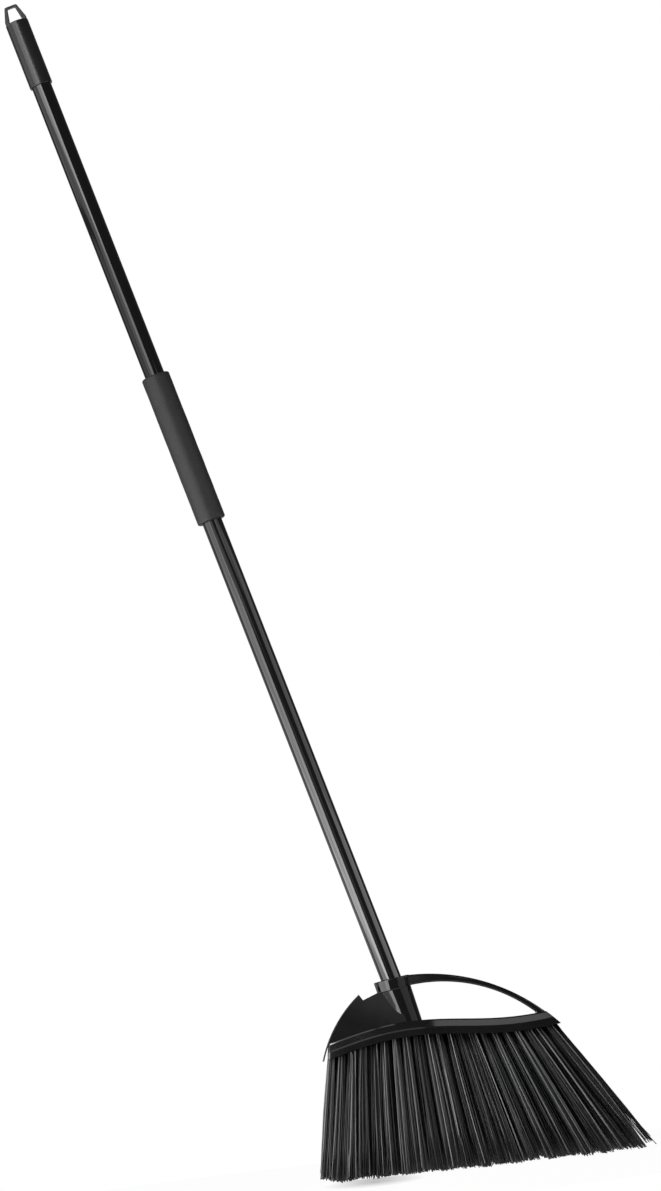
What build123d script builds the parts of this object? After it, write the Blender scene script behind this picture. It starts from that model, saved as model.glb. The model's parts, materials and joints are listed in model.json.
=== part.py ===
from build123d import *
import math
import os

os.makedirs("parts", exist_ok=True)

# All lengths are in millimetres and all angles in degrees.
# X runs along the broom head, Y from its front to its back, and Z up from the floor
# that the trimmed bristle tips stand on. The handle leans towards -X.

# Handle tube
handle_lean = 15.1
mouth_x = 20.0
mouth_z = 210.0
tube_diameter = 22.2
tube_wall = 0.7
tube_length = 1138.5
tube_seat_depth = 12.0

# Foam grip
grip_diameter = 32.0
grip_length = 172.0
grip_start = 533.0
grip_end_round = 2.0

# Hang cap
cap_wall = 1.75
cap_roof = 2.5
cap_sleeve_length = 76.5
cap_edge_round = 0.7
loop_height = 20.0
loop_shoulder = 3.5
loop_base_width = 24.6
loop_top_width = 13.8
loop_depth = 6.5
loop_corner_round = 2.0
loop_edge_round = 0.8
loop_hole_base_width = 15.2
loop_hole_top_width = 8.4
loop_bar = 2.4
loop_hole_round = 1.2

# Threaded ferrule in the lower end of the tube
ferrule_plug_length = 40.0
ferrule_flange = 2.0
ferrule_core_diameter = 8.0
ferrule_tip_chamfer = 1.2
thread_length = 26.0
thread_pitch = 5.08
thread_major_diameter = 18.8
thread_minor_diameter = 14.6
thread_crest = 1.9
thread_flank_angle = 14.5
thread_turns = 4.4
thread_run_in = 1.4

# Socket and collar of the head
socket_length = 53.5
socket_top_depth = 6.0
socket_top_diameter = 35.3
socket_foot_diameter = 29.9
socket_thread_turns = 3.8
socket_thread_minor_diameter = 15.6
socket_floor_gap = 2.0
collar_lean = 8.0
collar_height = 12.5
collar_top_diameter = 39.2
collar_foot_diameter = 36.8
collar_edge_round = 1.2

# Block of the head, from its left to its right end
block_left = -62.0
block_right = 197.5
block_half_width_middle = 23.5
block_half_width_ends = 13.5
block_plan_power = 2.2
block_stations = 11
skirt_height = 7.6
block_height = 16.0
shoulder_run = 4.65
knee_break = 0.8
roof_break = 1.4
nose_x = -57.8
nose_lean = 8.0
corner_round = 3.0
end_proud = 0.5
block_wall = 2.4
nose_wall = 1.2
block_roof = 3.5

# The lower edge of the block is a gentle wave, seen from the front
edge_left_z = 129.5
edge_crest_x = 39.5
edge_crest_z = 146.7
edge_trough_x = 146.5
edge_trough_z = 139.6
edge_right_z = 143.0

# Web panel between the block and the socket; its rim runs on as a thin rib in front of the nose
web_tip_x = -63.2
web_tip_z = 129.5
web_bulge_x = -46.7
web_bulge_z = 164.2
web_tooth_x = -16.6
web_tooth_z = 196.9
web_notch_x = -12.6
web_notch_z = 190.3
web_collar_x = 5.0
web_collar_z = 196.9
web_base_z = 129.0
web_top_z = 200.0
web_half_base_left = 8.0
web_half_base_right = 24.0
web_half_top_left = 4.0
web_half_top_right = 11.0
web_edge_round = 1.0
rib_thickness = 1.8

# Arch from the collar to the right end of the block
arch_crown_x = 39.5
arch_crown_z = 212.0
arch_outer_radius = 209.5
arch_hole_crown_x = 57.5
arch_hole_crown_z = 201.7
arch_hole_radius = 166.4
arch_hole_tip_x = 170.0
arch_end_inset = 2.5
arch_depth = 16.0
arch_edge_round = 2.0
arch_hole_tip_round = 2.0
arch_root = 4.0

# Bristles: columns of tufts along the block, rows across it
column_count = 21
row_pitch = 8.4
row_count = 4
row_margin = 3.2
row_stagger = 2.4
ring_strands = 5
tuft_radius = 2.0
tuft_spread = 1.6
strand_width_root = 1.3
strand_width_tip = 1.7
strand_root_depth = 1.2
strand_longest = 170.0
fan_left = -9.9
fan_middle = 6.9
fan_right = 35.6
splay_across = 2.15
slice_thickness = 2.4
slice_recess = 0.8

# Clearances
sleeve_gap = 0.08
seat_gap = 0.3
socket_gap = 0.3
thread_play = 0.35
thread_root_gap = 0.4
insert_gap = 0.2
slice_gap = 0.4
slice_end_gap = 1.0
fuse_depth = 0.4

# Handle frame: its origin is the middle of the socket mouth
lean = math.radians(handle_lean)
along_handle = (-math.sin(lean), 0, math.cos(lean))
across_handle = (math.cos(lean), 0, math.sin(lean))
mouth = Vector(mouth_x, 0, mouth_z)
handle_frame = Plane(origin=mouth, x_dir=across_handle, z_dir=along_handle)
handle_side = Plane(origin=mouth, x_dir=across_handle, z_dir=(0, -1, 0))
handle_axis = Axis(mouth, along_handle)
front = Plane.XZ

tube_radius = tube_diameter / 2
tube_top = tube_length - tube_seat_depth
ferrule_shoulder = tube_seat_depth + ferrule_flange
stub_end = ferrule_shoulder + thread_length
tube_bore_depth = ferrule_shoulder + seat_gap
thread_bore_depth = stub_end + socket_floor_gap
thread_major = thread_major_diameter / 2
thread_minor = thread_minor_diameter / 2
thread_start = thread_run_in - stub_end
socket_thread_start = thread_start + thread_pitch / 2
thread_bore = thread_major + thread_root_gap
flank_slope = math.tan(math.radians(thread_flank_angle))
shoulder_slope = shoulder_run / (block_height - skirt_height)
nose_slope = math.tan(math.radians(nose_lean))


def ridge_half(radius):
    """Half the width of the ferrule's thread ridge at a radius."""
    return thread_crest / 2 + (thread_major - radius) * flank_slope


def socket_ridge_half(radius):
    """Half the width of the socket's ridge, which fills the groove less the play."""
    return thread_pitch / 2 - ridge_half(radius) - thread_play


def handle_helix(start, turns, radius):
    """Helix round the handle's axis, from a place along it."""
    middle = handle_frame.offset(start).origin
    return Helix(thread_pitch, turns * thread_pitch, radius, middle, along_handle)


def thread_plane(path, start):
    """Plane across a helix at its start, with its x pointing away from the axis."""
    outward = path @ 0 - handle_frame.offset(start).origin
    return Plane(path @ 0, x_dir=outward, z_dir=path % 0)


def edge_z(x):
    """Height of the block's lower edge: rise to the crest, fall to the trough, rise again."""
    if x <= edge_crest_x:
        share = (x - block_left) / (edge_crest_x - block_left)
        return edge_left_z + (edge_crest_z - edge_left_z) * math.sin(share * math.pi / 2)
    if x <= edge_trough_x:
        share = (x - edge_crest_x) / (edge_trough_x - edge_crest_x)
        fall = (edge_crest_z - edge_trough_z) / 2
        return edge_trough_z + fall * (1 + math.cos(share * math.pi))
    share = (x - edge_trough_x) / (block_right - edge_trough_x)
    return edge_trough_z + (edge_right_z - edge_trough_z) * (1 - math.cos(share * math.pi / 2))


def half_width(x):
    """Half the block's depth: a lens in plan, widest in the middle."""
    middle = (block_left + block_right) / 2
    share = abs(x - middle) / ((block_right - block_left) / 2)
    swell = 1 - share**block_plan_power
    return block_half_width_ends + (block_half_width_middle - block_half_width_ends) * swell


def block_section(x):
    """Outline of the block across the head: upright skirt, sloping shoulder, flat ridge."""
    low = edge_z(x)
    wide = half_width(x)
    shoulder = wide - shoulder_run + roof_break * shoulder_slope
    ridge = shoulder - roof_break
    return [
        (-wide, low),
        (wide, low),
        (wide, low + skirt_height),
        (shoulder, low + block_height - roof_break),
        (ridge, low + block_height),
        (-ridge, low + block_height),
        (-shoulder, low + block_height - roof_break),
        (-wide, low + skirt_height),
    ]


def inner_section(x, wall, low, high):
    """Outline a wall's thickness inside the block, between two heights above its edge."""
    stretch = math.sqrt(1 + shoulder_slope**2)
    wide = half_width(x) - wall
    knee = skirt_height - wall * (stretch - 1) / shoulder_slope
    narrow = half_width(x) - wall * stretch - (high - skirt_height) * shoulder_slope
    base = edge_z(x)
    return [
        (-wide, base + low),
        (wide, base + low),
        (wide, base + knee),
        (narrow, base + high),
        (-narrow, base + high),
        (-wide, base + knee),
    ]


def stations(left, right):
    """Evenly spaced places along the head, both ends included."""
    step = (right - left) / (block_stations - 1)
    return [left + step * index for index in range(block_stations)]


def cross_plane(x):
    """Plane across the head at x, with Y as its x and Z as its y."""
    return Plane(origin=(x, 0, 0), x_dir=(0, 1, 0), z_dir=(1, 0, 0))


def on_circle(x, crown_x, crown_z, radius):
    """Point of the upper half of a circle given by its crown."""
    return (x, crown_z - radius + math.sqrt(radius**2 - (x - crown_x) ** 2))


# The web's rim is one arc
web_rim = ThreePointArc(
    (web_tip_x, web_tip_z),
    (web_bulge_x, web_bulge_z),
    (web_tooth_x, web_tooth_z),
)
rim_x = web_rim.arc_center.X
rim_z = web_rim.arc_center.Y
end_z = arch_crown_z - arch_outer_radius


def left_end(z, wall):
    """Place along the head of its straight nose at a height, less a wall."""
    return nose_x + (z - edge_left_z) * nose_slope + wall


def right_end(z, wall):
    """Place along the head of its rounded right end at a height, less a wall."""
    return arch_crown_x + math.sqrt((arch_outer_radius + end_proud - wall) ** 2 - (z - end_z) ** 2)


def ends_outline(left_wall, right_wall):
    """Front view of what lies a wall inside the nose and a wall inside the arch's right end."""
    end_radius = arch_outer_radius + end_proud - right_wall
    low = edge_left_z - block_height
    high = end_z + end_radius
    end_start = math.degrees(math.asin((low - end_z) / end_radius))
    with BuildSketch(front) as outline:
        with BuildLine():
            end = CenterArc((arch_crown_x, end_z), end_radius, end_start, 90 - end_start)
            Polyline(end @ 1, (left_end(high, left_wall), high), (left_end(low, left_wall), low), end @ 0)
        make_face()
    return outline.sketch


# Handle tube
with BuildPart() as handle_tube:
    with BuildSketch(handle_frame.offset(-tube_seat_depth)):
        Circle(tube_radius)
        Circle(tube_radius - tube_wall, mode=Mode.SUBTRACT)
    extrude(amount=tube_length)
handle_tube.part.label = "handle_tube"
export_step(handle_tube.part, "parts/handle_tube.step")

# Foam grip, a sleeve with rounded ends
grip_bore = tube_radius + sleeve_gap
with BuildPart() as foam_grip:
    with BuildSketch(handle_side) as grip_profile:
        with BuildLine():
            Polyline(
                (grip_bore, grip_start),
                (grip_diameter / 2, grip_start),
                (grip_diameter / 2, grip_start + grip_length),
                (grip_bore, grip_start + grip_length),
                close=True,
            )
        make_face()
        fillet(grip_profile.vertices().group_by(Axis.X)[-1], grip_end_round)
    revolve(axis=handle_axis)
foam_grip.part.label = "foam_grip"
export_step(foam_grip.part, "parts/foam_grip.step")

# Hang cap: a closed sleeve over the top of the tube, with a flat loop on its roof
cap_bore = tube_radius + sleeve_gap
cap_radius = cap_bore + cap_wall
cap_ceiling = tube_top + seat_gap
cap_top = cap_ceiling + cap_roof
cap_low = cap_top - cap_sleeve_length
loop_root = cap_ceiling + fuse_depth
loop_top = cap_top + loop_height
with BuildPart() as hang_loop:
    with BuildSketch(handle_side) as loop_outline:
        with BuildLine():
            Polyline(
                (-loop_base_width / 2, loop_root),
                (loop_base_width / 2, loop_root),
                (loop_base_width / 2, cap_top + loop_shoulder),
                (loop_top_width / 2, loop_top),
                (-loop_top_width / 2, loop_top),
                (-loop_base_width / 2, cap_top + loop_shoulder),
                close=True,
            )
        make_face()
        fillet(loop_outline.vertices().group_by(Axis.Y)[-1], loop_corner_round)
    extrude(amount=loop_depth / 2, both=True)
    with BuildSketch(handle_side) as loop_hole:
        with BuildLine():
            Polyline(
                (-loop_hole_base_width / 2, cap_top),
                (loop_hole_base_width / 2, cap_top),
                (loop_hole_top_width / 2, loop_top - loop_bar),
                (-loop_hole_top_width / 2, loop_top - loop_bar),
                close=True,
            )
        make_face()
        fillet(loop_hole.vertices(), loop_hole_round)
    extrude(amount=loop_depth, both=True, mode=Mode.SUBTRACT)
    flats = hang_loop.faces().sort_by(Axis.Y)
    fillet(flats[0].outer_wire().edges() + flats[-1].outer_wire().edges(), loop_edge_round)
    flats = hang_loop.faces().sort_by(Axis.Y)
    hole_edges = [wire.edges() for flat in (flats[0], flats[-1]) for wire in flat.inner_wires()]
    fillet([edge for edges in hole_edges for edge in edges], loop_edge_round)
with BuildPart() as hang_cap:
    with BuildSketch(handle_side) as cap_profile:
        with BuildLine():
            Polyline(
                (cap_bore, cap_low),
                (cap_radius, cap_low),
                (cap_radius, cap_top),
                (0, cap_top),
                (0, cap_ceiling),
                (cap_bore, cap_ceiling),
                close=True,
            )
        make_face()
        fillet(cap_profile.vertices().group_by(Axis.X)[-1], cap_edge_round)
    revolve(axis=handle_axis)
    add(hang_loop.part)
hang_cap.part.label = "hang_cap"
export_step(hang_cap.part, "parts/hang_cap.step")

# Threaded ferrule: plug in the tube, flange under its end, threaded stub below
plug_radius = tube_radius - tube_wall - sleeve_gap
plug_top = ferrule_plug_length - tube_seat_depth
core_radius = ferrule_core_diameter / 2
with BuildPart() as threaded_ferrule:
    with BuildSketch(handle_side):
        with BuildLine():
            Polyline(
                (core_radius, -stub_end),
                (thread_minor - ferrule_tip_chamfer, -stub_end),
                (thread_minor, ferrule_tip_chamfer - stub_end),
                (thread_minor, -ferrule_shoulder),
                (tube_radius, -ferrule_shoulder),
                (tube_radius, -tube_seat_depth),
                (plug_radius, -tube_seat_depth),
                (plug_radius, plug_top),
                (core_radius, plug_top),
                close=True,
            )
        make_face()
    revolve(axis=handle_axis)
    with BuildLine():
        thread_path = handle_helix(thread_start, thread_turns, thread_minor)
    with BuildSketch(thread_plane(thread_path, thread_start)):
        with BuildLine():
            Polyline(
                (-fuse_depth, -ridge_half(thread_minor - fuse_depth)),
                (thread_major - thread_minor, -ridge_half(thread_major)),
                (thread_major - thread_minor, ridge_half(thread_major)),
                (-fuse_depth, ridge_half(thread_minor - fuse_depth)),
                close=True,
            )
        make_face()
    sweep(path=thread_path, is_frenet=True)
threaded_ferrule.part.label = "threaded_ferrule"
export_step(threaded_ferrule.part, "parts/threaded_ferrule.step")

# Web panel: its outline cut from a wedge that thins towards the top and the left end, with a
# tapering slot that parts its rib from the nose
slot_radius = web_rim.radius - rib_thickness
slot_top_z = edge_left_z + block_height
slot_foot_z = web_tip_z - block_height
slot_top = math.degrees(math.asin((slot_top_z - rim_z) / slot_radius))
slot_foot = math.degrees(math.asin((slot_foot_z - rim_z) / slot_radius))
web_right_x = mouth_x + socket_foot_diameter / 2
through_head = 2 * block_half_width_middle
with BuildPart() as web:
    for x, half_base, half_top in (
        (web_tip_x, web_half_base_left, web_half_top_left),
        (web_right_x, web_half_base_right, web_half_top_right),
    ):
        with BuildSketch(cross_plane(x)):
            with BuildLine():
                Polyline(
                    (-half_base, web_base_z),
                    (half_base, web_base_z),
                    (half_top, web_top_z),
                    (-half_top, web_top_z),
                    close=True,
                )
            make_face()
    loft(ruled=True)
    with BuildSketch(front):
        with BuildLine():
            add(web_rim)
            Polyline(
                web_rim @ 1,
                (web_notch_x, web_notch_z),
                (web_collar_x, web_collar_z),
                (mouth_x, web_collar_z),
                (web_right_x, edge_z(web_right_x) + skirt_height),
                web_rim @ 0,
            )
        make_face()
    extrude(amount=through_head, both=True, mode=Mode.INTERSECT)
    rim_edges = web.faces().filter_by(GeomType.CYLINDER).edges()
    fillet(rim_edges.filter_by(Axis.Y, reverse=True), web_edge_round)
    with BuildSketch(front):
        with BuildLine():
            rib_inside = CenterArc((rim_x, rim_z), slot_radius, 180 - slot_top, slot_top - slot_foot)
            Polyline(rib_inside @ 1, (left_end(slot_foot_z, 0), slot_foot_z), rib_inside @ 0)
        make_face()
    extrude(amount=through_head, both=True, mode=Mode.SUBTRACT)

# Arch: the band between two circles, from inside the collar to the block's right end
arch_left_x = mouth_x + collar_foot_diameter / 2 - arch_root
arch_right_x = block_right - arch_end_inset
arch_middle_x = (arch_left_x + arch_right_x) / 2
hole_middle_x = (arch_left_x + arch_hole_tip_x) / 2
arch_foot_z = edge_z(arch_hole_tip_x) + skirt_height
with BuildPart() as arch:
    with BuildSketch(front) as arch_band:
        with BuildLine():
            outer_arc = ThreePointArc(
                on_circle(arch_left_x, arch_crown_x, arch_crown_z, arch_outer_radius),
                on_circle(arch_middle_x, arch_crown_x, arch_crown_z, arch_outer_radius),
                on_circle(arch_right_x, arch_crown_x, arch_crown_z, arch_outer_radius),
            )
            hole_arc = ThreePointArc(
                on_circle(arch_left_x, arch_hole_crown_x, arch_hole_crown_z, arch_hole_radius),
                on_circle(hole_middle_x, arch_hole_crown_x, arch_hole_crown_z, arch_hole_radius),
                on_circle(arch_hole_tip_x, arch_hole_crown_x, arch_hole_crown_z, arch_hole_radius),
            )
            Polyline(outer_arc @ 1, (arch_hole_tip_x, arch_foot_z), hole_arc @ 1)
            Line(hole_arc @ 0, outer_arc @ 0)
        make_face()
        hole_tip = arch_band.vertices().sort_by_distance(hole_arc @ 1)[0]
        fillet(hole_tip, arch_hole_tip_round)
    extrude(amount=arch_depth / 2, both=True)
    fillet(arch.edges().filter_by(GeomType.CIRCLE), arch_edge_round)

# Head shell: hollow block, web, arch, and the socket with its collar and thread
collar_tilt = math.radians(collar_lean)
collar_side = Plane(
    origin=mouth,
    x_dir=(math.cos(collar_tilt), 0, math.sin(collar_tilt)),
    z_dir=(0, -1, 0),
)
collar_axis = Axis(mouth, (-math.sin(collar_tilt), 0, math.cos(collar_tilt)))
cavity_high = block_height - block_roof
with BuildPart() as cavity:
    for x in stations(block_left, block_right):
        with BuildSketch(cross_plane(x)):
            with BuildLine():
                Polyline(*inner_section(x, block_wall, -slice_recess, cavity_high), close=True)
            make_face()
    loft()
    extrude(ends_outline(nose_wall, block_wall), amount=through_head, both=True, mode=Mode.INTERSECT)
with BuildPart() as head_shell:
    for x in stations(block_left, block_right):
        with BuildSketch(cross_plane(x)) as section:
            with BuildLine():
                Polyline(*block_section(x), close=True)
            make_face()
            chamfer(section.vertices().group_by(Axis.Y)[1], knee_break)
    loft()
    right_face = head_shell.faces().sort_by(Axis.X)[-1]
    fillet(right_face.edges().filter_by(Axis.Y, reverse=True), corner_round)
    extrude(ends_outline(0, 0), amount=through_head, both=True, mode=Mode.INTERSECT)
    nose_face = head_shell.faces().sort_by(Axis.X)[0]
    fillet(nose_face.edges().filter_by(Axis.Y, reverse=True), corner_round)
    add(web.part)
    add(arch.part)
    with BuildSketch(handle_side):
        with BuildLine():
            Polyline(
                (0, -socket_length),
                (socket_foot_diameter / 2, -socket_length),
                (socket_top_diameter / 2, -socket_top_depth),
                (0, -socket_top_depth),
                close=True,
            )
        make_face()
    revolve(axis=handle_axis)
    with BuildSketch(collar_side) as collar_profile:
        with BuildLine():
            Polyline(
                (0, -collar_height),
                (collar_foot_diameter / 2, -collar_height),
                (collar_top_diameter / 2, 0),
                (0, 0),
                close=True,
            )
        make_face()
        fillet(collar_profile.vertices().sort_by(Axis.X)[-2:], collar_edge_round)
    revolve(axis=collar_axis)
    add(cavity.part, mode=Mode.SUBTRACT)
    with BuildSketch(handle_frame.offset(-tube_bore_depth)):
        Circle(tube_radius + socket_gap)
    extrude(amount=tube_bore_depth + collar_height, mode=Mode.SUBTRACT)
    with BuildSketch(handle_frame.offset(-thread_bore_depth)):
        Circle(thread_bore)
    extrude(amount=thread_bore_depth - tube_bore_depth, mode=Mode.SUBTRACT)
    with BuildLine():
        socket_path = handle_helix(socket_thread_start, socket_thread_turns, thread_bore)
    ridge_reach = socket_thread_minor_diameter / 2 - thread_bore
    with BuildSketch(thread_plane(socket_path, socket_thread_start)):
        with BuildLine():
            Polyline(
                (fuse_depth, -socket_ridge_half(thread_bore + fuse_depth)),
                (ridge_reach, -socket_ridge_half(thread_bore + ridge_reach)),
                (ridge_reach, socket_ridge_half(thread_bore + ridge_reach)),
                (fuse_depth, socket_ridge_half(thread_bore + fuse_depth)),
                close=True,
            )
        make_face()
    sweep(path=socket_path, is_frenet=True)
head_shell.part.label = "head_shell"
export_step(head_shell.part, "parts/head_shell.step")

# Bristle carrier: the plate inside the block that the tufts are set in
carrier_low = slice_recess + slice_thickness + insert_gap
carrier_wall = block_wall + insert_gap
with BuildPart() as bristle_carrier:
    for x in stations(block_left, block_right):
        with BuildSketch(cross_plane(x)):
            with BuildLine():
                outline = inner_section(x, carrier_wall, carrier_low, cavity_high - insert_gap)
                Polyline(*outline, close=True)
            make_face()
    loft()
    carrier_ends = ends_outline(nose_wall + insert_gap, carrier_wall)
    extrude(carrier_ends, amount=through_head, both=True, mode=Mode.INTERSECT)
bristle_carrier.part.label = "bristle_carrier"
export_step(bristle_carrier.part, "parts/bristle_carrier.step")

# Bristle columns: each is a slice of the carrier's underside with its tufts of strands
slice_top = slice_recess + slice_thickness
columns_left = left_end(edge_left_z + slice_top, nose_wall + insert_gap) + slice_end_gap
columns_right = right_end(edge_right_z + slice_top, carrier_wall) - slice_end_gap
column_pitch = (columns_right - columns_left) / column_count
slice_length = column_pitch - slice_gap


def fan_angle(x):
    """Lean of a strand along the head, by a curve through the angles at three places."""
    share = (x - columns_left) / (columns_right - columns_left)
    bend = 2 * (fan_left + fan_right - 2 * fan_middle)
    slope = fan_right - fan_left - bend
    return math.radians(fan_left + slope * share + bend * share**2)


def strand_ends(tuft_x, tuft_y, offset_x, offset_y):
    """Root and tip of one strand: tips fan along the head, splay across it and spread."""
    root_z = edge_z(tuft_x) + slice_recess + strand_root_depth
    angle = fan_angle(tuft_x)
    length = min(root_z / math.cos(angle), strand_longest)
    root = (tuft_x + offset_x, tuft_y + offset_y, root_z)
    tip = (
        tuft_x + length * math.sin(angle) + offset_x * tuft_spread,
        tuft_y * splay_across + offset_y * tuft_spread,
        root_z - length * math.cos(angle),
    )
    return root, tip


def ring_offset(index):
    """Place of a strand in its tuft: one in the middle, the others on a ring."""
    if index == 0:
        return 0, 0
    turn = 2 * math.pi * index / ring_strands
    return tuft_radius * math.sin(turn), tuft_radius * math.cos(turn)


strand_total = 0
for column in range(column_count):
    column_x = columns_left + column_pitch * (column + 0.5)
    slice_ends = (column_x - slice_length / 2, column_x + slice_length / 2)
    reach = min(half_width(x) for x in slice_ends) - carrier_wall
    tilt = math.atan2(edge_z(slice_ends[1]) - edge_z(slice_ends[0]), slice_length)
    slice_plane = Plane(
        origin=(column_x, 0, edge_z(column_x) + slice_recess),
        x_dir=(math.cos(tilt), 0, math.sin(tilt)),
        z_dir=(-math.sin(tilt), 0, math.cos(tilt)),
    )
    rows = min(row_count, 1 + int(2 * (reach - row_margin) / row_pitch))
    strands = []
    with BuildPart() as bristle_column:
        for row in range(rows):
            tuft_x = column_x + row_stagger * (1 if row % 2 else -1)
            tuft_y = row_pitch * (row - (rows - 1) / 2)
            for index in range(ring_strands + 1):
                root, tip = strand_ends(tuft_x, tuft_y, *ring_offset(index))
                with BuildSketch(Plane(origin=root)):
                    Rectangle(strand_width_root, strand_width_root)
                with BuildSketch(Plane(origin=tip)):
                    Rectangle(strand_width_tip, strand_width_tip)
                strands.append(loft(ruled=True, mode=Mode.PRIVATE))
        with BuildSketch(slice_plane):
            Rectangle(slice_length, 2 * reach)
        extrude(amount=slice_thickness)
        add(strands)
    strand_total += len(strands)
    name = f"bristle_column_{column + 1:02d}"
    bristle_column.part.label = name
    export_step(bristle_column.part, f"parts/{name}.step")
print("strands", strand_total)
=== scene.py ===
# %% [markdown]
# # Dressing an angle broom
# The broom arrives as a finished CAD frame: a moulded head with an arch, a fan of bristles, and a
# steel tube handle that screws into the head. Blender adds what the frame can't say: thousands of
# bristles, the soft foam of the grip, and the finish of every surface. Everything stays in metres and
# in the frame's own axes, so each piece goes straight to where the frame says it is.

import json
import math
import random

import bmesh
import bpy
from mathutils import Matrix, Vector, noise
from mathutils.bvhtree import BVHTree


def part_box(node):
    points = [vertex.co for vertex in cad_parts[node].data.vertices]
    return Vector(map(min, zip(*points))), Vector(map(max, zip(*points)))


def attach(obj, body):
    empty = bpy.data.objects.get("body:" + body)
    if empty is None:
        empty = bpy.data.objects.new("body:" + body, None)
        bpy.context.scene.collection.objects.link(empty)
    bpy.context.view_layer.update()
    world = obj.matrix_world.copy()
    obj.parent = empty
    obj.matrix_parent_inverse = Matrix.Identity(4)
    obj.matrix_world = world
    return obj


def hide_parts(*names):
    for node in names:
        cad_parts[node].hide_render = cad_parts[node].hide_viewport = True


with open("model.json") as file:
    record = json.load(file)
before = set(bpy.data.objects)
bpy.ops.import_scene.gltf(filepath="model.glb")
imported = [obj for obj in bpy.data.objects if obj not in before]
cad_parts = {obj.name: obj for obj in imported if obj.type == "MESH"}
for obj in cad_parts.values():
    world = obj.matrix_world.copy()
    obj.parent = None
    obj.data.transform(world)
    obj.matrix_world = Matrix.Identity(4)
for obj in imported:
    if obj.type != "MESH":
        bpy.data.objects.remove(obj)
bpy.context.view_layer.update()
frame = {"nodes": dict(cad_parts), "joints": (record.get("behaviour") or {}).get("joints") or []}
nodes = frame["nodes"]

# %% [markdown]
# ## The camera
# The photograph was taken from low down and far away: the horizon lies near the head of the broom, and
# the tube gets slimmer towards its top. A long lens a little above the floor, tipped up and rolled by a
# few degrees, gives the same lines. The picture is 661 by 1191, so the lens is set by its height.

# %% Camera
CAMERA_PLACE = Vector((-0.0485, -4.2, 0.1838))
CAMERA_ROLL = math.radians(6.3)
CAMERA_TILT = math.radians(6.095)
FOCAL_IN_PICTURE_HEIGHTS = 3.2592
SENSOR_HEIGHT_MM = 36.0

camera_data = bpy.data.cameras.new("photo_camera")
camera_data.sensor_fit = "VERTICAL"
camera_data.sensor_height = SENSOR_HEIGHT_MM
camera_data.lens = SENSOR_HEIGHT_MM * FOCAL_IN_PICTURE_HEIGHTS
camera = bpy.data.objects.new("photo_camera", camera_data)
bpy.context.scene.collection.objects.link(camera)
roll = Matrix.Rotation(CAMERA_ROLL, 4, "Y")
tilt = Matrix.Rotation(math.radians(90) + CAMERA_TILT, 4, "X")
camera.matrix_world = Matrix.Translation(CAMERA_PLACE) @ roll @ tilt
bpy.context.scene.camera = camera
bpy.context.scene.view_settings.view_transform = "Standard"
print("lens", round(camera_data.lens, 1), "mm")

# %% [markdown]
# ## Finishes made of nodes
# Every finish is a Principled shader whose colour, roughness and bump come from small patterns. One helper
# gives a function that adds a node and wires its inputs, and a few more make the patterns, so that each
# finish below reads as a short recipe.

# %% Material helpers
def node_tools(tree):
    """A function that adds a wired node to a tree, and one that wires a socket or sets its value."""

    def wire(socket, value):
        if isinstance(value, bpy.types.NodeSocket):
            tree.links.new(value, socket)
        else:
            socket.default_value = value

    def add_node(kind, inputs=None, **settings):
        made = tree.nodes.new(kind)
        for key, value in settings.items():
            setattr(made, key, value)
        for socket, value in (inputs or {}).items():
            wire(made.inputs[socket], value)
        return made

    return add_node, wire


def start_finish(name, reflectance):
    """A new material, its Principled shader, and the tools that add and wire nodes."""
    finish = bpy.data.materials.new(name)
    finish.use_nodes = True
    shader = finish.node_tree.nodes["Principled BSDF"]
    shader.inputs["Specular IOR Level"].default_value = reflectance
    return finish, shader, *node_tools(finish.node_tree)


def own_place(add_node):
    """The place of a shaded point in its object's own axes."""
    return add_node("ShaderNodeTexCoord").outputs["Object"]


def cloudy(add_node, place, scale, detail):
    """A cloudy pattern from 0 to 1."""
    inputs = {"Vector": place, "Scale": scale, "Detail": detail}
    return add_node("ShaderNodeTexNoise", inputs).outputs["Fac"]


def grey_ramp(add_node, factor, greys, low=0.3, high=0.7):
    """A ramp from a dark grey to a lighter one, across a part of a pattern."""
    ramp = add_node("ShaderNodeValToRGB", {"Fac": factor})
    for element, grey, position in zip(ramp.color_ramp.elements, greys, (low, high)):
        element.position = position
        element.color = (*grey, 1)
    return ramp.outputs["Color"]


def spread(add_node, factor, low, high):
    """A pattern from 0 to 1, spread over another range."""
    inputs = {"Value": factor, "To Min": low, "To Max": high}
    return add_node("ShaderNodeMapRange", inputs).outputs["Result"]


def bumpy(add_node, height, strength, distance, below=None):
    """The normal of a surface with bumps, on top of the normal of other bumps where there are any."""
    inputs = {"Height": height, "Strength": strength, "Distance": distance}
    if below:
        inputs["Normal"] = below
    return add_node("ShaderNodeBump", inputs).outputs["Normal"]


def combined(add_node, operation, first, second, kind="ShaderNodeMath"):
    """Two values, or two vectors, put together by a node of either kind of maths."""
    return add_node(kind, {0: first, 1: second}, operation=operation).outputs[0]


def dress(node_name, finish):
    """Give a CAD node a finish in every one of its material slots."""
    for slot in nodes[node_name].material_slots:
        slot.material = finish
    print(node_name, "wears", finish.name)


# %% [markdown]
# ## Moulded plastic
# The head is injection moulded in glossy black, the cap in a satin black, and the hidden plate and
# ferrule in a duller one. Moulded gloss is never a perfect mirror: it has faint flow clouds in its
# roughness and a very shallow ripple, which bend the reflections of the lamps a little.

# %% Plastic finishes
HEAD_BLACK = ((0.003, 0.003, 0.0032), (0.005, 0.005, 0.0053))
CAP_BLACK = ((0.008, 0.008, 0.0083), (0.012, 0.012, 0.0124))


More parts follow.
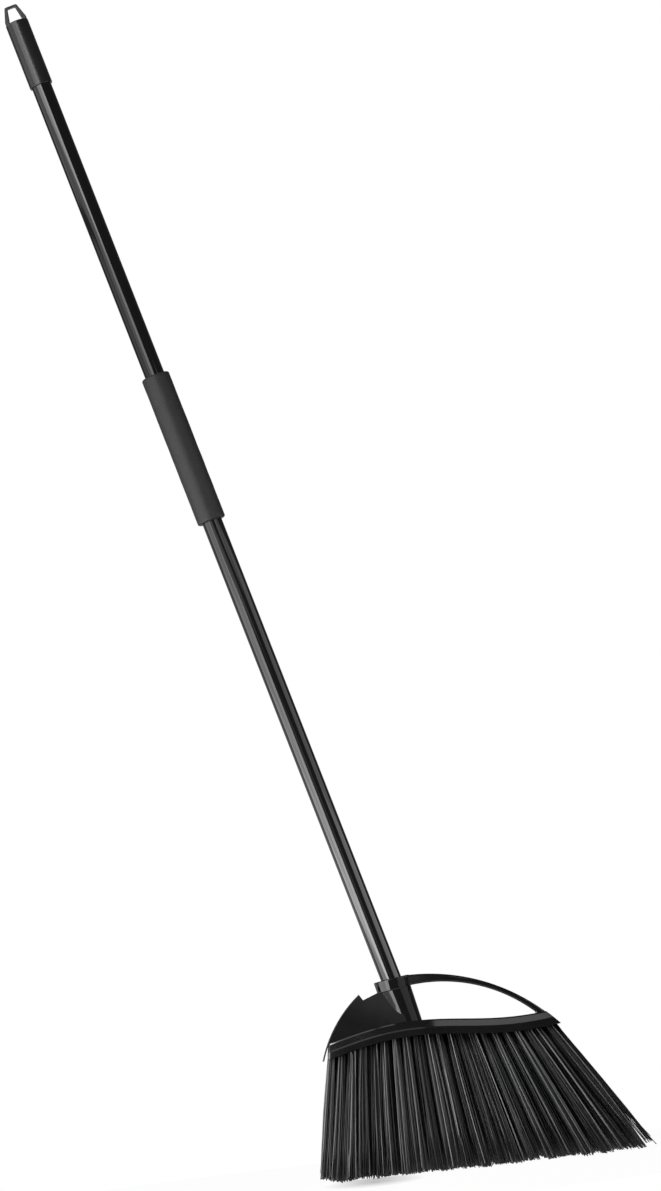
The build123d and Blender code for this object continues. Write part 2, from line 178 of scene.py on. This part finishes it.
def moulded_plastic(name, greys, gloss, dull, reflectance, ripple, grain):
    """Plastic whose roughness drifts between gloss and dull, with a ripple and a grain."""
    finish, shader, add_node, wire = start_finish(name, reflectance)
    place = own_place(add_node)
    clouds = cloudy(add_node, place, scale=38.0, detail=4.0)
    specks = cloudy(add_node, place, scale=1400.0, detail=2.0)
    rippled = bumpy(add_node, clouds, ripple, distance=0.001)
    wire(shader.inputs["Base Color"], grey_ramp(add_node, clouds, greys))
    wire(shader.inputs["Roughness"], spread(add_node, clouds, gloss, dull))
    wire(shader.inputs["Normal"], bumpy(add_node, specks, grain, distance=0.0002, below=rippled))
    return finish


head_gloss = moulded_plastic(
    "head_gloss", HEAD_BLACK, gloss=0.06, dull=0.1, reflectance=0.5, ripple=0.015, grain=0.003
)
cap_satin = moulded_plastic(
    "cap_satin", CAP_BLACK, gloss=0.26, dull=0.34, reflectance=0.5, ripple=0.03, grain=0.06
)
hidden_plastic = moulded_plastic(
    "hidden_plastic", CAP_BLACK, gloss=0.45, dull=0.6, reflectance=0.25, ripple=0.05, grain=0.15
)
dress("head_shell", head_gloss)
dress("hang_cap", cap_satin)
dress("bristle_carrier", hidden_plastic)
dress("threaded_ferrule", hidden_plastic)

# %% [markdown]
# ## The coated tube
# The handle is thin steel tube with a baked black coating. The coating pulls slightly as it dries, so its
# gloss has long soft streaks down the tube and a fine orange peel. The Mapping node turns the pattern so
# that its streaks run along the leaning handle.

# %% Tube finish
STREAK_STRETCH = (220, 220, 3.5)

turn_joint = next(joint for joint in frame["joints"] if joint["name"] == "handle_turn")
mouth = Vector(turn_joint["pos_m"])
along = Vector(turn_joint["axis"]).normalized()
lean = math.atan2(-along.x, along.z)


def coated_steel():
    """Gloss with streaks along the handle and an orange peel."""
    finish, shader, add_node, wire = start_finish("tube_coating", reflectance=0.5)
    place = own_place(add_node)
    upright = add_node("ShaderNodeMapping", {"Vector": place, "Rotation": (0, lean, 0)}).outputs["Vector"]
    streaky = add_node("ShaderNodeMapping", {"Vector": upright, "Scale": STREAK_STRETCH}).outputs["Vector"]
    streaks = cloudy(add_node, streaky, scale=5.0, detail=3.0)
    peel = cloudy(add_node, place, scale=420.0, detail=2.0)
    wire(shader.inputs["Base Color"], grey_ramp(add_node, streaks, HEAD_BLACK))
    wire(shader.inputs["Roughness"], spread(add_node, streaks, low=0.06, high=0.12))
    wire(shader.inputs["Normal"], bumpy(add_node, peel, strength=0.03, distance=0.0002))
    return finish


dress("handle_tube", coated_steel())
print("handle leans", round(math.degrees(lean), 1), "degrees")

# %% [markdown]
# ## The foam grip
# The grip is a sleeve of closed-cell foam pushed onto the tube. It is a lathe shape, so a half profile is
# spun about the handle's axis: a straight wall with soft rounded lips, drawn in where the foam ends.
# Foam is never quite even, so a little noise swells and dents the wall.

# %% Foam grip
GRIP_STEPS = 96
GRIP_WALL_STEPS = 40
GRIP_LIP = 0.002
GRIP_LIP_POINTS = 6
GRIP_UNEVENNESS = 0.00025
GRIP_LUMPS_PER_METRE = 55.0
FOAM_GREY = ((0.014, 0.014, 0.0145), (0.02, 0.02, 0.0205))


def finish_mesh(name, bm, finish, body, replaced):
    """Turn a bmesh into a smooth object that rides on a body and stands for a CAD node."""
    mesh = bpy.data.meshes.new(name)
    bm.to_mesh(mesh)
    bm.free()
    mesh.materials.append(finish)
    for polygon in mesh.polygons:
        polygon.use_smooth = True
    piece = bpy.data.objects.new(name, mesh)
    bpy.context.scene.collection.objects.link(piece)
    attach(piece, body)
    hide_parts(replaced)
    return piece


def foam_finish():
    """Matte foam with a mottled grey and fine pores."""
    finish, shader, add_node, wire = start_finish("grip_foam", reflectance=0.3)
    place = own_place(add_node)
    cells = add_node("ShaderNodeTexVoronoi", {"Vector": place, "Scale": 1500.0}).outputs["Distance"]
    mottle = cloudy(add_node, place, scale=600.0, detail=5.0)
    wire(shader.inputs["Base Color"], grey_ramp(add_node, mottle, FOAM_GREY, low=0.35, high=0.65))
    wire(shader.inputs["Roughness"], spread(add_node, mottle, low=0.46, high=0.54))
    wire(shader.inputs["Normal"], bumpy(add_node, cells, strength=0.25, distance=0.0003))
    return finish


def off_axis(point):
    """The vector from the handle's axis to a point."""
    offset = point - mouth
    return offset - along * offset.dot(along)


def spin_on_handle(bm, profile):
    """Spin a profile of (radius, place along the handle) points right round the handle's axis."""
    across = Vector((along.z, 0, -along.x))
    ring = [bm.verts.new(mouth + across * radius + along * place) for radius, place in profile]
    edges = [bm.edges.new(pair) for pair in zip(ring, ring[1:])]
    bmesh.ops.spin(
        bm, geom=ring + edges, cent=mouth, axis=along, angle=2 * math.pi, steps=GRIP_STEPS, use_merge=True
    )
    bmesh.ops.recalc_face_normals(bm, faces=bm.faces[:])


def make_grip():
    """The sleeve, between the ends, the bore and the outside of the CAD grip."""
    points = [vertex.co for vertex in nodes["foam_grip"].data.vertices]
    places = [(point - mouth).dot(along) for point in points]
    radii = [off_axis(point).length for point in points]
    low, high, bore, reach = min(places), max(places), min(radii), max(radii)
    lip = [math.radians(90) * step / GRIP_LIP_POINTS for step in range(GRIP_LIP_POINTS + 1)]
    lower = [(reach - GRIP_LIP * (1 - math.sin(a)), low + GRIP_LIP * (1 - math.cos(a))) for a in lip]
    wall = [
        (reach, low + GRIP_LIP + (high - low - 2 * GRIP_LIP) * step / GRIP_WALL_STEPS)
        for step in range(1, GRIP_WALL_STEPS)
    ]
    upper = [(radius, low + high - place) for radius, place in reversed(lower)]
    bm = bmesh.new()
    spin_on_handle(bm, [(bore, low), *lower, *wall, *upper, (bore, high), (bore, low)])
    for vertex in bm.verts:
        out = off_axis(vertex.co)
        if out.length > bore + GRIP_LIP / 2:
            swell = noise.noise(vertex.co * GRIP_LUMPS_PER_METRE) * GRIP_UNEVENNESS
            vertex.co += out.normalized() * (swell - GRIP_UNEVENNESS)
    return finish_mesh("grip_sleeve", bm, foam_finish(), "handle", "foam_grip")


grip = make_grip()
print("grip faces", len(grip.data.polygons))

# %% [markdown]
# ## The bristles
# The head holds columns of tufts, and each tuft is a pinch of stiff plastic strands. They leave the
# carrier close together, fan out along the head, splay to the front and back, and end in a rough trim
# near the floor. One strand is modelled once, as a slim four-sided bar with a few rings, and every other
# strand is a copy of it, bent along its own path. A seeded random generator makes them differ.

# %% Strand finish
STRAND_GREY = ((0.004, 0.004, 0.0042), (0.24, 0.24, 0.245))


def strand_finish():
    """Satin fibre, whose grey follows each strand's random tone and the painted light that lightens the
    strands on the left.
    """
    finish, shader, add_node, wire = start_finish("bristle_fibre", reflectance=0.3)
    tone_and_light = add_node("ShaderNodeAttribute", attribute_name="tone_and_light").outputs["Fac"]
    drawn = cloudy(add_node, own_place(add_node), scale=900.0, detail=2.0)
    wire(shader.inputs["Base Color"], grey_ramp(add_node, tone_and_light, STRAND_GREY, low=0.0, high=1.0))
    wire(shader.inputs["Roughness"], spread(add_node, drawn, low=0.32, high=0.5))
    wire(shader.inputs["Normal"], bumpy(add_node, drawn, strength=0.15, distance=0.0001))
    return finish


bristle_fibre = strand_finish()
print("strand finish", bristle_fibre.name)

# %% Strand layout
RANDOM_SEED = 2718

# One strand, with the range of its thickness as factors
STRAND_RINGS = 4
STRAND_THICKNESS = 0.0012
THICKNESS_RANGE = (0.8, 1.2)
STRAND_BOW = 0.00105

# One tuft: places on a spiral, and a spread from root to tip with its range as factors
STRANDS_PER_TUFT = 44
SPIRAL_ANGLE = math.radians(137.5)
TUFT_RADIUS = 0.0039
TUFT_SPREAD = 2.0
SPREAD_RANGE = (0.8, 1.15)

# Rows of tufts across the head, and how much further apart they are at the tips
ROW_COUNT = 4
ROW_PITCH = 0.0084
ROW_MARGIN = 0.0032
ROW_STAGGER = 0.003
SPLAY_ACROSS = 2.1

# Lean of the strands at the left end, in the middle and at the right end of the head
FAN_LEFT, FAN_MIDDLE, FAN_RIGHT = (math.radians(a) for a in (-9.9, 6.9, 35.3))

# The left edge of the fan draws in the strands that would stand past it, to within this depth
EDGE_DEPTH = 0.003

# The trim is rough from strand to strand and from tuft to tuft. At the right it is cut at 45 degrees, on a
# line that meets the floor at the right corner, and it rises by a slope from the left corner outward.
TRIM_ROUGHNESS = 0.004
TUFT_TRIM_ROUGHNESS = 0.0016
RIGHT_CORNER_X = 0.2755
LEFT_CORNER_X = -0.058
LEFT_CORNER_SLOPE = 0.28

# In the last column the outermost strands stand apart, and the rest are held to the left of an edge. Both
# are shares of the tuft's radius.
LOOSE_BEYOND = 0.9
LOOSE_RANGE = (0.0, 1.6)
TIGHT_EDGE = -0.3

# The higher the power, the rarer the bright strands. It rises to the right, so the left strands are
# lighter: painted light.
TONE_AND_LIGHT_POWER_LEFT = 2.6
TONE_AND_LIGHT_POWER_RIGHT = 5.6

# Rays that find the carrier's side start this far out, and this far above its underside
CAST_DISTANCE = 0.1
CAST_RISE = 0.001

draw = random.Random(RANDOM_SEED)
columns = sorted(name for name in nodes if name.startswith("bristle_column"))
last_column = len(columns) - 1
carrier_low, carrier_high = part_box("bristle_carrier")
carrier_length = carrier_high.x - carrier_low.x
carrier = BVHTree.FromPolygons(
    [vertex.co.copy() for vertex in nodes["bristle_carrier"].data.vertices],
    [list(polygon.vertices) for polygon in nodes["bristle_carrier"].data.polygons],
)


def carrier_underside(x, y):
    """The place on the carrier's underside that a strand is set in."""
    hit = carrier.ray_cast(Vector((x, y, 0)), Vector((0, 0, 1)))[0]
    return hit if hit else Vector((x, y, carrier_low.z))


def carrier_reach(x):
    """Half the depth of the carrier at a place along the head."""
    outside = carrier_underside(x, 0) + Vector((0, -CAST_DISTANCE, CAST_RISE))
    return -carrier.ray_cast(outside, Vector((0, 1, 0)))[0].y


def fan_angle(share):
    """Lean of the strands along the head: a curve through the angles at its ends and middle."""
    bend = 2 * (FAN_LEFT + FAN_RIGHT - 2 * FAN_MIDDLE)
    return FAN_LEFT + (FAN_RIGHT - FAN_LEFT - bend) * share + bend * share**2


def tuft_offset(strand):
    """Even spiral of places inside a tuft, within a unit circle."""
    radius = math.sqrt((strand + 0.5) / STRANDS_PER_TUFT)
    turn = strand * SPIRAL_ANGLE
    return radius * math.cos(turn), radius * math.sin(turn)


def tip_aside(index, aside):
    """How far aside a tip stands in its tuft, in a column."""
    if index < last_column:
        return aside * draw.uniform(*SPREAD_RANGE)
    if aside > LOOSE_BEYOND:
        return draw.uniform(*LOOSE_RANGE)
    return min(aside, TIGHT_EDGE) * draw.uniform(*SPREAD_RANGE)


print("columns", len(columns), "on a carrier of", round(carrier_length, 3), "m")


# %% Strand building
def strand_template():
    """One upright strand of unit height and width: a four-sided bar with rings to bend at."""
    bm = bmesh.new()
    bmesh.ops.create_cone(
        bm, cap_ends=True, segments=4, radius1=0.5, radius2=0.5, depth=1.0,
        matrix=Matrix.Translation((0, 0, 0.5)),
    )
    for ring in range(1, STRAND_RINGS):
        bmesh.ops.bisect_plane(
            bm, geom=bm.verts[:] + bm.edges[:] + bm.faces[:],
            plane_co=(0, 0, ring / STRAND_RINGS), plane_no=(0, 0, 1),
        )
    mesh = bpy.data.meshes.new("strand_template")
    bm.to_mesh(mesh)
    bm.free()
    return mesh


def add_strand(bm, tone_and_light_layer, tone_and_light_power, root, tip, bow):
    """Append one strand that bends from its root to its tip, with a random tone of its own, lighter on the
    left as painted light.
    """
    first = len(bm.verts)
    bm.from_mesh(template)
    bm.verts.ensure_lookup_table()
    width = STRAND_THICKNESS * draw.uniform(*THICKNESS_RANGE)
    turn = Matrix.Rotation(draw.uniform(0, math.pi), 3, "Z")
    tone_and_light = draw.random() ** tone_and_light_power
    for vertex in bm.verts[first:]:
        share = vertex.co.z
        side = turn @ Vector((vertex.co.x, vertex.co.y, 0)) * width
        vertex.co = root.lerp(tip, share) + bow * (4 * share * (1 - share)) + side
        vertex[tone_and_light_layer] = tone_and_light


def add_tuft(bm, tone_and_light_layer, index, tuft_x, tuft_y):
    """Append the strands of one tuft of a column, from the carrier to their trimmed tips."""
    fan = math.tan(fan_angle((tuft_x - carrier_low.x) / carrier_length))
    # Painted light: the power grows along the head, so strands on the left are drawn lighter, for the
    # light from the left.
    tone_and_light_power = TONE_AND_LIGHT_POWER_LEFT + (TONE_AND_LIGHT_POWER_RIGHT - TONE_AND_LIGHT_POWER_LEFT) * index / last_column
    tuft_trim = abs(draw.gauss(0, TUFT_TRIM_ROUGHNESS))
    for strand in range(STRANDS_PER_TUFT):
        aside, deep = tuft_offset(strand)
        root = carrier_underside(tuft_x + aside * TUFT_RADIUS, tuft_y + deep * TUFT_RADIUS)
        corner_drop = (root.z - root.x + RIGHT_CORNER_X) / (1 + fan)
        drop = min(root.z, corner_drop) - tuft_trim - abs(draw.gauss(0, TRIM_ROUGHNESS))
        tip_x = tuft_x + fan * drop + tip_aside(index, aside) * TUFT_RADIUS * TUFT_SPREAD
        tip_y = tuft_y * SPLAY_ACROSS + deep * TUFT_RADIUS * TUFT_SPREAD * draw.uniform(*SPREAD_RANGE)
        edge_x = carrier_low.x + math.tan(FAN_LEFT) * drop
        if tip_x < edge_x:
            tip_x = edge_x + draw.uniform(0, EDGE_DEPTH)
        rise = LEFT_CORNER_SLOPE * max(0, LEFT_CORNER_X - tip_x)
        tip = Vector((tip_x, tip_y, root.z - drop + rise))
        bow = Vector((draw.gauss(0, 1), draw.gauss(0, 1), 0)) * STRAND_BOW
        add_strand(bm, tone_and_light_layer, tone_and_light_power, root, tip, bow)


def make_column(index, name):
    """The tufts that stand for one CAD column, as many rows as the carrier has room for."""
    column_x = carrier_low.x + carrier_length / len(columns) * (index + 0.5)
    rows = min(ROW_COUNT, 1 + int(2 * (carrier_reach(column_x) - ROW_MARGIN) / ROW_PITCH))
    bm = bmesh.new()
    # Each strand's value holds its random tone and the painted light that lightens the left of the head.
    tone_and_light_layer = bm.verts.layers.float.new("tone_and_light")
    for row in range(rows):
        tuft_x = column_x + ROW_STAGGER * (1 if row % 2 else -1)
        tuft_y = ROW_PITCH * (row - (rows - 1) / 2)
        add_tuft(bm, tone_and_light_layer, index, tuft_x, tuft_y)
    return finish_mesh("bristles_" + name[-2:], bm, bristle_fibre, "head", name)


template = strand_template()
bristles = [make_column(index, name) for index, name in enumerate(columns)]
print("faces a strand", len(template.polygons))
print("bristle faces", sum(len(piece.data.polygons) for piece in bristles))

# %% [markdown]
# ## The studio
# The broom stands on a pale floor against white. Black gloss shows little but what it mirrors, so each
# soft box stands where a ray from the camera ends after it bounces off a surface of the broom:
#
# - tall boxes on the left, brightest near the floor, for the long highlight of the tube, grip and cap
# - fainter ones on the right, for the shaded side of the tube and the socket
# - boxes in front, for the web panel and the knee of the block
# - boxes overhead, for the shoulder and the roof edge of the block, and a small bright one for the
#   glint on its nose
#
# The background is white to the camera, and dim in most reflections, through Light Path, so it puts
# little light on the broom. The floor turns white away from the tips in the same way; beside them its grey
# shows through as a painted shadow, with the floor's real shading in it.

# %% Floor
FLOOR_RADIUS = 0.6
FLOOR_SIDES = 128
FLOOR_GREY = (0.58, 0.58, 0.58, 1)
FLOOR_ROUGHNESS = 0.9
FLOOR_WHITENESS = 0.97
# The spot where the grey floor shows through the white is a painted shadow; the floor's real shading shows
# in it too.
SHADOW_MIDDLE = (-0.022, -0.075, 0.0)
SHADOW_SQUASH = (1.0, 0.45, 1.0)
SHADOW_REACH = 0.055
WHITE = (1, 1, 1, 1)


def pale_floor():
    """Pale grey to the lamps, and white to the camera and in reflections, apart from a painted shadow spot
    beside the tips, where the grey shows with its real shading.
    """
    finish, shader, add_node, wire = start_finish("pale_floor", reflectance=0.0)
    shader.inputs["Base Color"].default_value = FLOOR_GREY
    shader.inputs["Roughness"].default_value = FLOOR_ROUGHNESS
    path = add_node("ShaderNodeLightPath").outputs
    seen = combined(add_node, "MAXIMUM", path["Is Camera Ray"], path["Is Glossy Ray"])
    seen = combined(add_node, "MAXIMUM", seen, path["Is Transmission Ray"])
    vectors = "ShaderNodeVectorMath"
    aside = combined(add_node, "SUBTRACT", own_place(add_node), SHADOW_MIDDLE, vectors)
    squashed = combined(add_node, "MULTIPLY", aside, SHADOW_SQUASH, vectors)
    away = add_node(vectors, {0: squashed}, operation="LENGTH").outputs["Value"]
    fade = add_node(
        "ShaderNodeMapRange", {"Value": away, "From Max": SHADOW_REACH, "To Max": FLOOR_WHITENESS}
    )
    whiteness = combined(add_node, "MULTIPLY", seen, fade.outputs["Result"])
    white = add_node("ShaderNodeEmission", {"Color": WHITE, "Strength": 1.0}).outputs["Emission"]
    mixed = add_node("ShaderNodeMixShader", {0: whiteness, 1: shader.outputs["BSDF"], 2: white})
    wire(finish.node_tree.nodes["Material Output"].inputs["Surface"], mixed.outputs["Shader"])
    return finish


floor_mesh = bpy.data.meshes.new("floor")
bm = bmesh.new()
bmesh.ops.create_circle(bm, cap_ends=True, segments=FLOOR_SIDES, radius=FLOOR_RADIUS)
bm.to_mesh(floor_mesh)
bm.free()
floor_mesh.materials.append(pale_floor())
floor = bpy.data.objects.new("floor", floor_mesh)
bpy.context.scene.collection.objects.link(floor)
print("floor radius", FLOOR_RADIUS, "m")

# %% Sky and lamps
ROOM_LEVEL = 0.1
SKY_LEVEL = 0.12
BACKDROP_START = 0.85
BOX_DISTANCE = 1.15


def white_world():
    """White to the camera and in reflections of the backdrop, and dim towards the room in front."""
    world = bpy.data.worlds.new("white_studio")
    world.use_nodes = True
    add_node, wire = node_tools(world.node_tree)
    path = add_node("ShaderNodeLightPath").outputs
    direction = add_node("ShaderNodeTexCoord").outputs["Generated"]
    backward = add_node("ShaderNodeSeparateXYZ", {0: direction}).outputs["Y"]
    backdrop = add_node(
        "ShaderNodeMapRange", {"Value": backward, "From Min": BACKDROP_START, "To Min": ROOM_LEVEL}
    )
    straight = combined(add_node, "MAXIMUM", path["Is Camera Ray"], path["Is Transmission Ray"])
    seen = combined(add_node, "MAXIMUM", straight, path["Is Glossy Ray"])
    level = combined(add_node, "MAXIMUM", straight, backdrop.outputs["Result"])
    background = world.node_tree.nodes["Background"]
    background.inputs["Color"].default_value = WHITE
    wire(background.inputs["Strength"], spread(add_node, seen, low=SKY_LEVEL, high=level))
    bpy.context.scene.world = world


def soft_box(name, width, height, radiance):
    """An area lamp of a given radiance, unseen by the camera."""
    data = bpy.data.lights.new(name, "AREA")
    data.shape = "RECTANGLE"
    data.size = width
    data.size_y = height
    data.energy = radiance * math.pi * width * height
    lamp = bpy.data.objects.new(name, data)
    bpy.context.scene.collection.objects.link(lamp)
    lamp.visible_camera = False
    return lamp


def plan(azimuth):
    """A place on the floor plan, by its angle to the right of the broom's front."""
    turn = math.radians(azimuth)
    return Vector((BOX_DISTANCE * math.sin(turn), -BOX_DISTANCE * math.cos(turn), 0))


def upright_lamp(name, right_azimuth, left_azimuth, low, high, radiance):
    """An upright soft box about the broom, between two azimuths in degrees and two heights."""
    right, left = plan(right_azimuth), plan(left_azimuth)
    lamp = soft_box(name, (right - left).length, high - low, radiance)
    lamp.location = (right + left) / 2 + Vector((0, 0, (low + high) / 2))
    facing = Vector((left.y - right.y, right.x - left.x, 0))
    lamp.rotation_euler = facing.to_track_quat("-Z", "Y").to_euler()
    return lamp


def overhead_lamp(name, place, target, width, depth, radiance):
    """A soft box above the broom that faces a target."""
    lamp = soft_box(name, width, depth, radiance)
    lamp.location = place
    lamp.rotation_euler = (Vector(target) - Vector(place)).to_track_quat("-Z", "Y").to_euler()
    return lamp


# Foot, top and radiance of each step of the tall boxes on the left
LEFT_STEPS = (
    (-0.25, 0.0, 5.5),
    (0.0, 0.12, 12.0),
    (0.12, 0.24, 9.0),
    (0.24, 0.36, 7.0),
    (0.36, 0.52, 5.2),
    (0.52, 0.66, 4.0),
    (0.66, 0.72, 4.0),
)

# Sides of the three boxes of a step, by azimuth, and the share of its radiance that the outer two have
STRIP_RIGHT, STRIP_LEFT, WIDE_LEFT, FAR_LEFT = -22, -45, -95, -140
WIDE_SHARE = 0.65
FAR_SHARE = 0.08

# From this height up the strip starts further left, clear of what the knee of the block mirrors
KNEE_CLEAR_HEIGHT = 0.66
KNEE_CLEAR_RIGHT = -35

# Name, azimuth of the right and the left side, foot, top and radiance
UPRIGHT_BOXES = (
    ("left_high_strip", -13, -35, 0.84, 1.2, 3.6),
    ("left_high_wide", -35, -62, 0.72, 1.22, 1.5),
    ("left_high_edge", -62, -105, 0.72, 1.0, 0.7),
    ("left_top_strip", -18, -35, 1.2, 1.6, 7.0),
    ("left_top_wide", -35, -62, 1.22, 1.45, 4.6),
    ("left_top_edge", -62, -105, 1.05, 1.4, 1.2),
    ("knee_front", 3, -12, 0.7, 0.84, 0.7),
    ("knee_left", -12, -35, 0.68, 0.84, 1.0),
    ("web_top", 4, -10.2, 0.2, 0.6, 0.42),
    ("web_middle", -10.2, -11.6, 0.2, 0.6, 0.26),
    ("web_foot", -11.6, -13, 0.2, 0.6, 0.1),
    ("right_foot", 90, 35, 0.1, 0.4, 0.5),
    ("right_low", 100, 44, 0.4, 0.72, 2.6),
    ("right_high", 100, 44, 0.72, 1.15, 1.4),
)

# Name, place, what it faces, width, depth and radiance
OVERHEAD_BOXES = (
    ("shoulder_box", (0.2475, -0.5, 0.96), (0.12, 0.0, 0.15), 0.255, 0.35, 1.5),
    ("roof_box", (-0.36, 0.03, 1.5), (-0.02, 0.0, 0.15), 0.25, 0.48, 1.1),
    ("glint_box", (-0.632, 0.097, 1.5), (-0.053, -0.01, 0.148), 0.12, 0.065, 14.0),
)

white_world()
lamps = []
for step, (low, high, radiance) in enumerate(LEFT_STEPS):
    strip_right = STRIP_RIGHT if low < KNEE_CLEAR_HEIGHT else KNEE_CLEAR_RIGHT
    for name, right, left, share in (
        ("left_strip", strip_right, STRIP_LEFT, 1.0),
        ("left_wide", STRIP_LEFT, WIDE_LEFT, WIDE_SHARE),
        ("left_far", WIDE_LEFT, FAR_LEFT, FAR_SHARE),
    ):
        lamps.append(upright_lamp(f"{name}_{step}", right, left, low, high, radiance * share))
lamps += [upright_lamp(*box) for box in UPRIGHT_BOXES]
lamps += [overhead_lamp(*box) for box in OVERHEAD_BOXES]
print("lamps", len(lamps))
